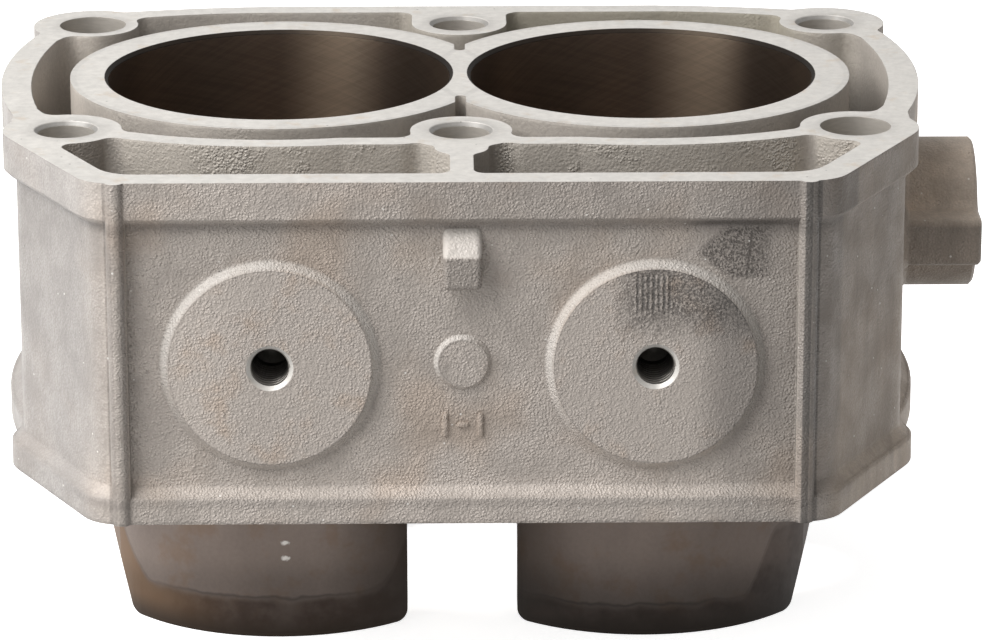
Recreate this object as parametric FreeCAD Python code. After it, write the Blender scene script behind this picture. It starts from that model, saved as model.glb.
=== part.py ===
import FreeCAD, Part
import math
import os

# A liquid-cooled twin-cylinder barrel, cast in one piece of aluminium and machined.
# Millimetres. +X runs along the row of bores, +Y to the back, +Z up the bores.
# The origin lies on the deck, which takes the head gasket, midway between the bores.

Vector = FreeCAD.Vector

# Bores and the sleeves round them
bore_diameter = 80.0
bore_pitch = 84.8
sleeve_wall = 8.8
bore_chamfer = 0.8
bridge_slot_width = 2.5
bridge_slot_end = 20.5
bridge_slot_mouth_radius = 1.5
bridge_slot_depth = 34.0

# Heights, from the deck down to the crankcase face
barrel_height = 78.7
deck_flange_height = 9.5
base_flange_height = 6.2
jacket_depth = 64.0

# Outline of the deck, seen from above
end_reach = 107.0
end_edge_reach = 101.8
end_edge_y = 36.0
deck_back = 63.4
back_flat_half = 48.0
back_shoulder_x = 84.0
back_shoulder_drop = 5.3
back_bow = 0.9
deck_front = 92.3
front_corner_x = 81.4
front_corner_radius = 10.0
corner_lobe_radius = 14.3
notch_radius = 3.0
flange_step = 2.8

# Bolts that hold the head and the barrel down
corner_bolt_x = 88.9
front_bolt_y = 48.2
back_bolt_y = 46.0
front_middle_bolt_y = 50.1
back_middle_bolt_y = 46.5
bolt_hole_diameter = 12.8
bolt_hole_chamfer = 0.9
dowel_diameter = 16.0
dowel_depth = 9.0

# Water jacket, open at the deck
jacket_end_reach = 100.0
jacket_end_edge_reach = 96.6
jacket_end_edge_y = 31.0
jacket_back = 57.3
jacket_back_flat_half = 50.0
jacket_back_corner_x = 78.0
jacket_back_corner_y = 52.8
jacket_back_bow = 0.9
jacket_front = 56.2
jacket_front_flat_half = 27.0
jacket_front_corner_x = 76.0
jacket_front_corner_y = 49.8
jacket_front_bow = 4.1
front_bolt_boss_wall = 6.1
back_bolt_boss_wall = 4.6
middle_bolt_boss_wall = 5.1
jacket_corner_radius = 3.5

# Pushrod galleries in front of the jacket, open from the deck to the base
gallery_wall = 7.1
gallery_divider = 5.6
gallery_web = 5.2
gallery_web_boss_radius = 6.0
gallery_web_boss_y = 64.5
gallery_bolt_wall = 5.6
gallery_middle_wall = 7.8
gallery_front_radius = 9.5
gallery_tip_radius = 2.8

# Cylinder skirts that reach down into the crankcase
skirt_wall = 4.6
skirt_length = 45.3
skirt_slot_half = 12.9
skirt_side_reach = 77.5
skirt_side_angle = 15.0
skirt_corner_radius = 2.5
skirt_lead_in = 1.6

# Round pads on the front wall, each with a threaded hole
pad_radius = 22.4
pad_proud = 2.2
pad_drop = 42.6
pad_flank = 1.9
pad_thread_minor = 8.6
pad_thread_depth = 17.0
pad_thread_chamfer = 0.9
pad_boss_wall = 6.0
pad_boss_end_wall = 4.0

# Lug and date disc between the pads, and the ribs at the casting's parting line
lug_width = 8.6
lug_top = 11.0
lug_head_top = 16.8
lug_head_bottom = 24.2
lug_proud = 5.0
lug_edge_radius = 1.3
date_disc_radius = 5.5
date_disc_proud = 0.9
date_disc_drop = 42.0
date_disc_flank = 0.9
rib_x = 75.6
rib_width = 4.2
rib_proud = 1.1
rib_edge_radius = 2.0

# Coolant connection on the right-hand end: a round boss with one screw lug
port_reach = 121.7
port_boss_radius = 17.7
port_centre_y = 10.0
port_centre_drop = 37.2
port_bore_diameter = 20.0
port_bore_chamfer = 1.0
port_lug_reach = 27.0
port_lug_height = 11.6
port_lug_drop = 37.3
port_lug_corner_radius = 2.2
port_lug_notch_radius = 3.0
port_screw_minor = 5.0
port_screw_depth = 14.0
port_screw_reach = 20.8
port_screw_chamfer = 0.5
port_root_width = 1.6
port_edge_width = 0.7

# Edges left by the mould, and the slope of a drill's point
flange_lower_edge = 1.1
wall_upper_root = 1.2
wall_lower_root = 2.0
base_flange_edge = 0.5
drill_point_angle = 118.0

# Sizes that follow from the others
bore_radius = bore_diameter / 2
half_pitch = bore_pitch / 2
sleeve_radius = bore_radius + sleeve_wall
skirt_radius = bore_radius + skirt_wall
base_level = -barrel_height
skirt_level = base_level - skirt_length
bolt_radius = bolt_hole_diameter / 2
front_wall = deck_front - flange_step
pad_level = -pad_drop
pad_boss_radius = pad_thread_minor / 2 + pad_boss_wall
pad_boss_length = pad_thread_depth + pad_boss_end_wall - pad_proud
port_radius = port_bore_diameter / 2

# How far solids reach into each other where they are joined or cut, and what counts as touching
seat = 1.0
touch = 1e-4


def at(x, y, z=0.0):
    return Vector(x, y, z)


def line(start, end):
    return Part.LineSegment(start, end).toShape()


def bowed(start, end, rise):
    """An arc between two points of a plan, standing out to the right of the way by a rise."""
    run = end - start
    out = at(run.y, -run.x) * (rise / run.Length)
    return Part.Arc(start, (start + end) * 0.5 + out, end).toShape()


def middle_of(edge):
    return edge.valueAt((edge.FirstParameter + edge.LastParameter) / 2)


def face(edges):
    return Part.Face(Part.Wire(Part.__sortEdges__(edges)))


def mirrored(shape):
    """The same shape on the other side of the plane between the bores."""
    return shape.mirror(at(0, 0), at(1, 0, 0))


def both_sides(shape):
    return [shape, mirrored(shape)]


def symmetric_region(half_edges):
    """A flat region from the edges of its right half, which start and end at x = 0."""
    return face(half_edges + [mirrored(edge) for edge in half_edges])


def disc(place, radius):
    return Part.Face(Part.Wire(Part.Circle(place, at(0, 0, 1), radius).toShape()))


def polygon(corners):
    return Part.Face(Part.makePolygon(corners + corners[:1]))


def joined_regions(regions):
    """Flat regions that overlap, made one."""
    return regions[0].fuse(regions[1:]).removeSplitter().Faces[0]


def region_without(region, holes):
    """A flat region with others taken away. The largest piece that is left counts."""
    return max(region.cut(holes).removeSplitter().Faces, key=lambda piece: piece.Area)


def grown(region, distance):
    """A flat region with its edge moved outwards, or inwards when negative."""
    return region.makeOffset2D(distance)


def without_sharp_points(region, radius):
    """Rounds the outward corners of a flat region to a radius."""
    return grown(grown(region, -radius), radius)


def without_sharp_notches(region, radius):
    """Rounds the inward corners of a flat region to a radius."""
    return grown(grown(region, radius), -radius)


def prism(region, bottom, top):
    """A flat region at z = 0 made solid between two levels."""
    solid = region.extrude(at(0, 0, top - bottom))
    solid.translate(at(0, 0, bottom))
    return solid


def cylinder(place, radius, bottom, top):
    return Part.makeCylinder(radius, top - bottom, at(place.x, place.y, bottom))


def corner_bolts():
    return [at(side * corner_bolt_x, y) for y in (-front_bolt_y, back_bolt_y) for side in (-1, 1)]


def middle_bolts():
    return [at(0, -front_middle_bolt_y), at(0, back_middle_bolt_y)]


def bore_centres():
    return [at(-half_pitch, 0), at(half_pitch, 0)]


def front_lobe_tangent():
    """Where the slanting front wall touches the lobe round the right-hand corner bolt."""
    run_x = front_corner_x - corner_bolt_x
    run_y = front_bolt_y - deck_front
    turn = math.atan2(run_y, run_x) + math.acos(corner_lobe_radius / math.hypot(run_x, run_y))
    return at(corner_bolt_x + corner_lobe_radius * math.cos(turn),
              corner_lobe_radius * math.sin(turn) - front_bolt_y)


def deck_outline():
    """The deck from above: bowed ends, lobes round the bolts and cut-off front corners."""
    front_corner = at(front_corner_x, -deck_front)
    tangent = front_lobe_tangent()
    front_edge = at(end_edge_reach, -end_edge_y)
    back_edge = at(end_edge_reach, end_edge_y)
    back_bolt = at(corner_bolt_x, back_bolt_y)
    shoulder = at(back_shoulder_x, deck_back - back_shoulder_drop)
    back_flat = at(back_flat_half, deck_back)
    plate = symmetric_region([
        line(at(0, -deck_front), front_corner),
        line(front_corner, tangent),
        line(tangent, front_edge),
        bowed(front_edge, back_edge, end_reach - end_edge_reach),
        line(back_edge, back_bolt),
        line(back_bolt, shoulder),
        bowed(shoulder, back_flat, back_bow),
        line(back_flat, at(0, deck_back)),
    ])
    lobes = [disc(bolt, corner_lobe_radius) for bolt in corner_bolts()]
    outline = joined_regions([plate] + lobes)
    outline = without_sharp_notches(outline, notch_radius)
    return without_sharp_points(outline, front_corner_radius)


def jacket_room():
    """The water jacket from above, with the sleeves left out."""
    front_flat = at(jacket_front_flat_half, -jacket_front)
    front_corner = at(jacket_front_corner_x, -jacket_front_corner_y)
    front_edge = at(jacket_end_edge_reach, -jacket_end_edge_y)
    back_edge = at(jacket_end_edge_reach, jacket_end_edge_y)
    back_corner = at(jacket_back_corner_x, jacket_back_corner_y)
    back_flat = at(jacket_back_flat_half, jacket_back)
    room = symmetric_region([
        line(at(0, -jacket_front), front_flat),
        bowed(front_flat, front_corner, jacket_front_bow),
        line(front_corner, at(corner_bolt_x, -front_bolt_y)),
        line(at(corner_bolt_x, -front_bolt_y), front_edge),
        bowed(front_edge, back_edge, jacket_end_reach - jacket_end_edge_reach),
        line(back_edge, at(corner_bolt_x, back_bolt_y)),
        line(at(corner_bolt_x, back_bolt_y), back_corner),
        bowed(back_corner, back_flat, jacket_back_bow),
        line(back_flat, at(0, jacket_back)),
    ])
    bosses = [disc(bolt, bolt_radius + (front_bolt_boss_wall if bolt.y < 0 else back_bolt_boss_wall))
              for bolt in corner_bolts()]
    half = bolt_radius + middle_bolt_boss_wall
    bosses += [disc(bolt, half) for bolt in middle_bolts()]
    bosses.append(polygon([at(-half, back_middle_bolt_y), at(half, back_middle_bolt_y),
                           at(half, deck_back), at(-half, deck_back)]))
    return without_sharp_points(region_without(room, bosses), jacket_corner_radius)


def gallery_room(outline, jacket):
    """The right-hand gallery from above, between the front wall and the water jacket."""
    inside = without_sharp_points(grown(outline, -gallery_wall), gallery_front_radius)
    web_half = gallery_web / 2
    span = polygon([at(web_half, -deck_front), at(end_reach, -deck_front),
                    at(end_reach, -front_bolt_y), at(web_half, -front_bolt_y)])
    room = inside.common(span).Faces[0]
    keep = [grown(jacket, gallery_divider),
            disc(at(0, -gallery_web_boss_y), gallery_web_boss_radius),
            disc(at(0, -front_middle_bolt_y), bolt_radius + gallery_middle_wall),
            disc(at(corner_bolt_x, -front_bolt_y), bolt_radius + gallery_bolt_wall)]
    return without_sharp_points(region_without(room, keep), gallery_tip_radius)


def turned(edges, centre, axis):
    """A solid of revolution from a profile in the XZ plane, stood on a centre along an axis."""
    solid = face(edges).revolve(at(0, 0), at(0, 0, 1), 360)
    solid.Placement = FreeCAD.Placement(centre, FreeCAD.Rotation(at(0, 0, 1), axis))
    return solid


def round_pad(radius, proud, flank, centre):
    """A round pad that stands out of the front wall, with a sloping flank."""
    corners = [at(0, 0, -seat), at(radius + flank, 0, -seat), at(radius + flank, 0, 0),
               at(radius, 0, proud), at(0, 0, proud)]
    return turned(Part.makePolygon(corners + corners[:1]).Edges, centre, at(0, -1, 0))


def drilled(place, axis, diameter, depth, chamfer):
    """A blind hole with a drill-point end and a chamfered mouth, as the solid to take away."""
    radius = diameter / 2
    point = radius / math.tan(math.radians(drill_point_angle / 2))
    corners = [(0, seat), (radius + chamfer, seat), (radius + chamfer, 0), (radius, -chamfer),
               (radius, -depth), (0, -depth - point)]
    profile = Part.makePolygon([at(r, 0, h) for r, h in corners + corners[:1]])
    return turned(profile.Edges, place, axis)


def casting_body(outline):
    """The outer block: a wall set back between a deck flange and a base flange."""
    wall = grown(outline, -flange_step)
    body = prism(wall, base_level, 0)
    body = body.fuse([prism(outline, -deck_flange_height, 0),
                      prism(outline, base_level, base_level + base_flange_height)]).removeSplitter()
    halfway = grown(outline, -flange_step / 2)

    def rim(level, outside):
        """The edges that run round the body at a level, on the flange or in the corner of the wall."""
        chosen = []
        for edge in body.Edges:
            box = edge.BoundBox
            if abs(box.ZMin - level) > touch or abs(box.ZMax - level) > touch:
                continue
            middle = middle_of(edge)
            if halfway.isInside(at(middle.x, middle.y), touch, True) != outside:
                chosen.append(edge)
        return chosen

    for level, outside, width in (
            (-deck_flange_height, True, flange_lower_edge),
            (-deck_flange_height, False, wall_upper_root),
            (base_level + base_flange_height, True, base_flange_edge),
            (base_level + base_flange_height, False, wall_lower_root)):
        body = body.makeChamfer(width, rim(level, outside))
    return body


def lug():
    """The wedge between the pads: a slope down from the deck flange to a square head."""
    head = -front_wall - lug_proud
    root = -front_wall + seat
    slope = (lug_head_top - lug_top) / lug_proud
    profile = polygon([at(0, root, seat * slope - lug_top), at(0, head, -lug_head_top),
                       at(0, head, -lug_head_bottom), at(0, root, -lug_head_bottom)])
    profile.translate(at(-lug_width / 2, 0))
    block = profile.extrude(at(lug_width, 0))
    free_edges = [edge for edge in block.Edges if edge.BoundBox.YMin < root - touch]
    return block.makeFillet(lug_edge_radius, free_edges)


def parting_ribs():
    """The upright beads where the mould closed, at both ends of the front wall."""
    inner = rib_x - rib_width / 2
    outer = rib_x + rib_width / 2
    front = -deck_front - rib_proud
    back = -front_wall + flange_step
    section = polygon([at(inner, front), at(outer, front), at(outer, back), at(inner, back)])
    section = without_sharp_points(section, rib_edge_radius)
    return both_sides(prism(section, base_level, 0))


def plan_to_end(solid):
    """Turns a solid drawn with its outline in (x, y) so that it lies in (y, z) and runs along +X."""
    turned_solid = solid.copy()
    turned_solid.rotate(at(0, 0), at(1, 1, 1), 120)
    return turned_solid


def port_outline():
    """The coolant connection seen from the end, drawn with Y across and Z up the page."""
    centre = at(port_centre_y, -port_centre_drop)
    lug_end = port_centre_y - port_lug_reach
    top = port_lug_height / 2 - port_lug_drop
    bottom = -port_lug_height / 2 - port_lug_drop
    lug_bar = polygon([at(lug_end, bottom), at(centre.x, bottom), at(centre.x, top), at(lug_end, top)])
    outline = joined_regions([disc(centre, port_boss_radius), lug_bar])
    outline = without_sharp_notches(outline, port_lug_notch_radius)
    return without_sharp_points(outline, port_lug_corner_radius)


def with_coolant_port(body):
    """The casting with its coolant connection, and a sloped corner where the two meet."""
    boss = plan_to_end(prism(port_outline(), jacket_end_edge_reach, port_reach))
    boss = boss.makeChamfer(port_edge_width, [edge for edge in boss.Edges
                                              if edge.BoundBox.XMin > port_reach - touch])
    body = body.fuse(boss).removeSplitter()
    root = []
    for edge in body.Edges:
        middle = middle_of(edge)
        on_boss = boss.distToShape(Part.Vertex(middle))[0] < touch
        if on_boss and end_edge_reach - flange_step < middle.x < end_reach - flange_step + touch:
            root.append(edge)
    return body.makeChamfer(port_root_width, root)


def skirts():
    """The lower ends of the cylinders, cut away in the middle and at the outer sides."""
    top = base_level + seat
    hidden = top + skirt_corner_radius
    side_run = (hidden - skirt_level) * math.tan(math.radians(skirt_side_angle))
    ear = polygon([at(skirt_slot_half, skirt_level), at(skirt_side_reach, skirt_level),
                   at(skirt_side_reach + side_run, hidden), at(skirt_slot_half, hidden)])
    ear = without_sharp_points(ear, skirt_corner_radius)
    ear.rotate(at(0, 0), at(1, 0, 0), 90)
    ear.translate(at(0, skirt_radius + seat))
    ear = ear.extrude(at(0, -2 * (skirt_radius + seat)))
    barrel = cylinder(at(half_pitch, 0), skirt_radius, skirt_level, top)
    return both_sides(barrel.common(ear))


def sleeves():
    """The two cylinders inside the water jacket, joined at the bridge and slotted beside it."""
    plan = joined_regions([disc(centre, sleeve_radius) for centre in bore_centres()])
    half = bridge_slot_width / 2
    slots = []
    for side in (-1, 1):
        end = side * (bridge_slot_end + half)
        outside = side * sleeve_radius
        slots.append(disc(at(0, end), half))
        slots.append(polygon([at(-half, end), at(half, end), at(half, outside), at(-half, outside)]))
    slotted = without_sharp_points(region_without(plan, slots), bridge_slot_mouth_radius)
    return prism(plan, -jacket_depth - seat, -bridge_slot_depth).fuse(prism(slotted, -bridge_slot_depth, 0))


def cylinder_barrel():
    outline = deck_outline()
    jacket = jacket_room()
    gallery = gallery_room(outline, jacket)
    pad_centre = at(half_pitch, -front_wall, pad_level)
    pad_face = pad_centre - at(0, pad_proud)

    body = with_coolant_port(casting_body(outline))
    pad = round_pad(pad_radius, pad_proud, pad_flank, pad_centre)
    date_disc = round_pad(date_disc_radius, date_disc_proud, date_disc_flank,
                          at(0, -front_wall, -date_disc_drop))
    body = body.fuse(both_sides(pad) + [date_disc, lug()] + parting_ribs())

    body = body.cut(both_sides(prism(gallery, base_level - seat, seat)))
    body = body.cut(prism(jacket, -jacket_depth, seat))

    boss = Part.makeCylinder(pad_boss_radius, pad_boss_length - seat,
                             pad_centre + at(0, pad_boss_length), at(0, -1, 0))
    body = body.fuse(both_sides(boss) + [sleeves()] + skirts())

    cuts = [cylinder(centre, bore_radius, skirt_level - seat, seat) for centre in bore_centres()]
    for centre in bore_centres():
        cuts.append(Part.makeCone(bore_radius + bore_chamfer + seat, bore_radius - seat,
                                  bore_chamfer + 2 * seat, at(centre.x, centre.y, seat), at(0, 0, -1)))
        cuts.append(Part.makeCone(bore_radius + skirt_lead_in, bore_radius, 2 * skirt_lead_in,
                                  at(centre.x, centre.y, skirt_level)))
    for bolt in corner_bolts() + middle_bolts():
        cuts.append(cylinder(bolt, bolt_radius, base_level - seat, seat))
        mouth = bolt_radius + bolt_hole_chamfer
        cuts.append(Part.makeCone(mouth, bolt_radius, bolt_hole_chamfer, bolt, at(0, 0, -1)))
    for dowel in (at(corner_bolt_x, -front_bolt_y), at(-corner_bolt_x, back_bolt_y)):
        cuts.append(cylinder(dowel, dowel_diameter / 2, -dowel_depth, seat))
    thread = drilled(pad_face, at(0, -1, 0), pad_thread_minor, pad_thread_depth, pad_thread_chamfer)
    cuts += both_sides(thread)

    port_face = at(port_reach, port_centre_y, -port_centre_drop)
    cuts.append(Part.makeCylinder(port_radius, port_reach - jacket_end_edge_reach + seat,
                                  port_face + at(seat, 0), at(-1, 0, 0)))
    cuts.append(Part.makeCone(port_radius + port_bore_chamfer, port_radius, port_bore_chamfer,
                              port_face, at(-1, 0, 0)))
    screw = at(port_reach, port_centre_y - port_screw_reach, -port_lug_drop)
    cuts.append(drilled(screw, at(1, 0, 0), port_screw_minor, port_screw_depth, port_screw_chamfer))
    return body.cut(cuts).removeSplitter().Solids[0]


if __name__ == "__main__":
    os.makedirs("parts", exist_ok=True)
    cylinder_barrel().exportStep("parts/cylinder_barrel.step")
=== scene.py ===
"""The look of a cast twin-cylinder barrel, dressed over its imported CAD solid.

Sizes are in metres. +X runs along the row of bores, +Y to the back and +Z up out of the deck.
Finishes read Object coordinates, turned into millimetres inside each material.
"""
import math

import bmesh
import bpy
from mathutils import Matrix, Vector
from mathutils.bvhtree import BVHTree


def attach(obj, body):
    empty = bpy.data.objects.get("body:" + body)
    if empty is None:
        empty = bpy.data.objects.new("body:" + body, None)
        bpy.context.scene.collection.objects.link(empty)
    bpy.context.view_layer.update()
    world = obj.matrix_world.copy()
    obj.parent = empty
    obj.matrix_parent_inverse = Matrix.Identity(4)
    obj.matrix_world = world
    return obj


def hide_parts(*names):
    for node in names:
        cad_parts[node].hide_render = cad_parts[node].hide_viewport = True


bl_info = {
    "name": "Cylinder barrel look",
    "version": (1, 0, 0),
    "blender": (4, 5, 0),
    "location": "View3D > Sidebar > Barrel",
    "description": "Dresses a packed cylinder barrel with its cast and machined finishes",
    "category": "Object",
}

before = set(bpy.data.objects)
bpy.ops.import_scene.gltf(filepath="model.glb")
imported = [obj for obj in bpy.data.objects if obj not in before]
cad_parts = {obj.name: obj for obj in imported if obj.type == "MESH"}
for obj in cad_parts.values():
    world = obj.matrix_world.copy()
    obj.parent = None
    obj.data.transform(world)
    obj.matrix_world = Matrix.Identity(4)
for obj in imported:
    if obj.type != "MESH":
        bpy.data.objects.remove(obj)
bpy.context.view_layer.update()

NODE = "cylinder_barrel"
BODY = "root"
MM = 0.001

# Places on the casting, in millimetres
BORE_X = 42.4
BORES = ((-BORE_X, 0.0), (BORE_X, 0.0))
BORE_TOP_Z = -0.05
BORE_LIP_Z = (-1.2, -0.8)
BOLTS = ((-88.9, -48.2), (88.9, -48.2), (-88.9, 46.0), (88.9, 46.0), (0.0, -50.1), (0.0, 46.5))
PADS = ((-BORE_X, -42.6), (BORE_X, -42.6))
PAD_FACE_Y = -91.7
PAD_HOLE_Y = -70.0
PAD_MOUTH_Y = -90.0
DISC = (0.0, -42.0)
WALL_Y = -89.5
DECK_EDGE_Z = -1.1
BASE_Z = -78.7
JACKET_FLOOR_Z = -64.0
GALLERY_Y = (-85.3, -56.0)
GALLERY_END_X = 80.0
PORT = (10.0, -37.2)
PORT_START_X = 95.0
PORT_END_X = 121.7
PORT_SCREW = (-10.8, -37.3)
PORT_SCREW_X = 104.0
PORT_SCREW_MOUTH = 0.7
CUTTER_AXIS = (-260.0, 40.0)
SKIRT_END_Z = -124.0
WORN_LINE_Z = -115.7
FLECK_X = -41.2
FLECKS_Z = (-100.7, -104.5)

# How far from its axis a face of a round feature may lie, in millimetres
BORE_REACH = 42.5
BOLT_REACH = 8.2
PAD_REACH = 22.6
PAD_HOLE_REACH = 5.3
PORT_REACH = 11.1
PORT_SCREW_REACH = 3.1

# How the faces of one finish are told from those of the next: closeness in millimetres, and how
# much of a face's direction points along an axis, or inwards when carried to a bore's axis
CLOSE = 0.2
LOOKS_STRAIGHT = 0.9
LOOKS_PARTLY = 0.3
LOOKS_SIDEWAYS = 0.5
LOOKS_AT_AXIS = 25.0

# A face looks out from this far in front of it, in millimetres, for a wall this near, in metres
LOOKOUT = 0.05
WALL_WITHIN = 0.15

# The casting's mesh: the distance that joins its corners, in millimetres, and angles in degrees
JOINED_WITHIN = 0.002
FLAT_WITHIN = 0.6
SOFTENED_FROM = 33.0
SHARP_FROM = 50.0

# Threads: the hole's radius and the thread's depth in metres, and its start in millimetres
PAD_THREAD = (0.0043, 0.0145)
PAD_THREAD_START = 1.2
SCREW_THREAD = (0.0025, 0.012)
SCREW_THREAD_START = 0.9

# The foundry mark, in millimetres: each stroke's place, width and height, the mark's height on
# the wall and how deep it is rooted, and the rounding of its edges in metres
MARK_STROKES = ((-3.9, 1.3, 5.6), (0.0, 2.6, 1.2), (3.9, 1.3, 5.6))
MARK_Z = -56.5
MARK_ROOT = 0.6
MARK_SOFTNESS = 0.0004

# How soft the light finds the casting's edges and the roots of its raised parts, in millimetres
CAST_SOFTNESS = 0.6
ROOT_SOFTNESS = 1.6

# Painted light and shade in upright bands on the ribs at the ends of the front wall: from and to,
# in millimetres, and brightness
RIB_LIGHT_AND_SHADE = ((-78.3, -76.5, 0.66), (-76.5, -74.8, 0.88), (-74.8, -73.8, 0.68),
             (73.2, 73.7, 1.3), (74.7, 76.3, 0.33), (76.4, 77.1, 0.75), (77.2, 78.4, 0.5))

# Rough clusters on the gallery walls: from and to, in millimetres
ROUGH_CLUSTERS = ((-79.5, -76.0), (-52.0, -47.0), (8.0, 11.5), (69.0, 75.0))

# The camera: angles in degrees, the point it aims at in millimetres, its distance in metres, the
# width of its film in millimetres, and its focal length in pixels of a frame of this width
CAMERA_TURN = -0.614
CAMERA_RISE = 17.743
CAMERA_ROLL = -0.081
CAMERA_AIM = (7.41, 0.0, -60.95)
CAMERA_DISTANCE = 1.2
FILM_WIDTH = 36.0
FOCAL_PIXELS = 5041.3
FRAME_WIDTH = 984

# The lamps: name, place, width and height in metres and power in watts, and where they aim
LAMP_AIM = (0.0, 0.0, -0.05)
LAMPS = (("key", (-0.63, -0.33, 0.79), 0.9, 0.9, 19.0),
         ("left", (-0.88, -0.42, 0.06), 0.6, 0.5, 2.4))

# The stage: what stray light finds of the sky and the floor, the floor's glow and its reach
# from the middle in metres
STRAY_SKY = 0.41
STRAY_FLOOR = (0.3, 0.3, 0.3, 1)
FLOOR_GLOW = 0.8
FLOOR_REACH = 6.0

# Sockets of a Mix node that is set to colours
MIX_FIRST = 6
MIX_SECOND = 7
MIX_RESULT = 2


def srgb(red, green, blue):
    """A colour given as it is seen, from 0 to 255, in the linear values that Blender keeps."""
    def linear(value):
        value /= 255
        return value / 12.92 if value <= 0.04045 else ((value + 0.055) / 1.055) ** 2.4
    return (linear(red), linear(green), linear(blue), 1.0)


def size(name, description, default):
    return bpy.props.FloatProperty(name=name, description=description, default=default,
                                   unit="LENGTH", precision=5)


def colour(name, description, default):
    return bpy.props.FloatVectorProperty(name=name, description=description, default=default,
                                         size=4, min=0.0, max=1.0, subtype="COLOR")


class BarrelSizes(bpy.types.PropertyGroup):
    """Sizes of the details that the solid leaves out."""
    edge_softness: size("Edge softness", "Width of the rounding on the casting's edges", 0.00045)
    pad_thread_pitch: size("Pad thread pitch", "Pitch of the thread in the two round pads", 0.0015)
    screw_thread_pitch: size("Screw thread pitch", "Pitch of the thread in the coolant lug", 0.001)
    thread_height: size("Thread height", "How far a thread's ridge stands out of its hole", 0.0006)
    mark_relief: size("Mark relief", "How far the foundry mark stands out of the wall", 0.0006)


class BarrelColours(bpy.types.PropertyGroup):
    """Colours of the casting's finishes."""
    deck: colour("Deck", "Milled deck face", srgb(202, 198, 192))
    cast: colour("Cast skin", "Sand-cast outer skin", srgb(172, 163, 155))
    cast_warm: colour("Warm bloom", "Warm patches in the cast skin", srgb(168, 148, 130))
    cast_cool: colour("Cool skin", "Smoother grey skin on the left-hand end", srgb(152, 148, 145))
    cast_brown: colour("Brown skin", "Browner skin on the right-hand end", srgb(134, 120, 105))
    cavity: colour("Cavity", "Cast walls inside the galleries and the jacket", srgb(168, 161, 152))
    jacket: colour("Jacket", "Smoother cast walls of the water jacket", srgb(163, 156, 148))
    olive: colour("Olive", "Greenish tinge at the back of the water jacket", srgb(150, 144, 124))
    bore: colour("Bore", "Honed and plated bore wall", srgb(126, 110, 97))
    # Painted reflection: this sheen stands in for light that the bore wall reflects
    painted_bore_sheen: colour("Bore sheen", "Paler upright sheen in the bore", srgb(205, 183, 160))
    drilled: colour("Drilled", "Drilled bolt holes", srgb(176, 170, 162))
    skirt: colour("Skirt", "Oil-darkened skirt", srgb(124, 111, 103))
    varnish: colour("Varnish", "Brown oil varnish along the skirt's edge", srgb(52, 35, 23))
    tan: colour("Tan", "Lighter brown varnish on the skirts", srgb(112, 84, 56))
    # Painted shade: this colour darkens the skirts' feet and their inner sides
    oil: colour("Oil", "Burnt oil on the skirt's edges", srgb(52, 40, 30))
    # Also painted shade under the base flange on the skirts
    soot: colour("Soot", "Dark stains on the cast skin", srgb(66, 60, 55))
    stain: colour("Stain", "Faint brown stains on milled faces", srgb(186, 168, 146))
    # Also painted highlights on the flanks of the pads and the disc and on the lug's slope
    speck_and_highlight: colour("Speck", "White specks and crests", srgb(226, 222, 216))
    backdrop: colour("Backdrop", "Floor and background", srgb(250, 250, 250))


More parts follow.
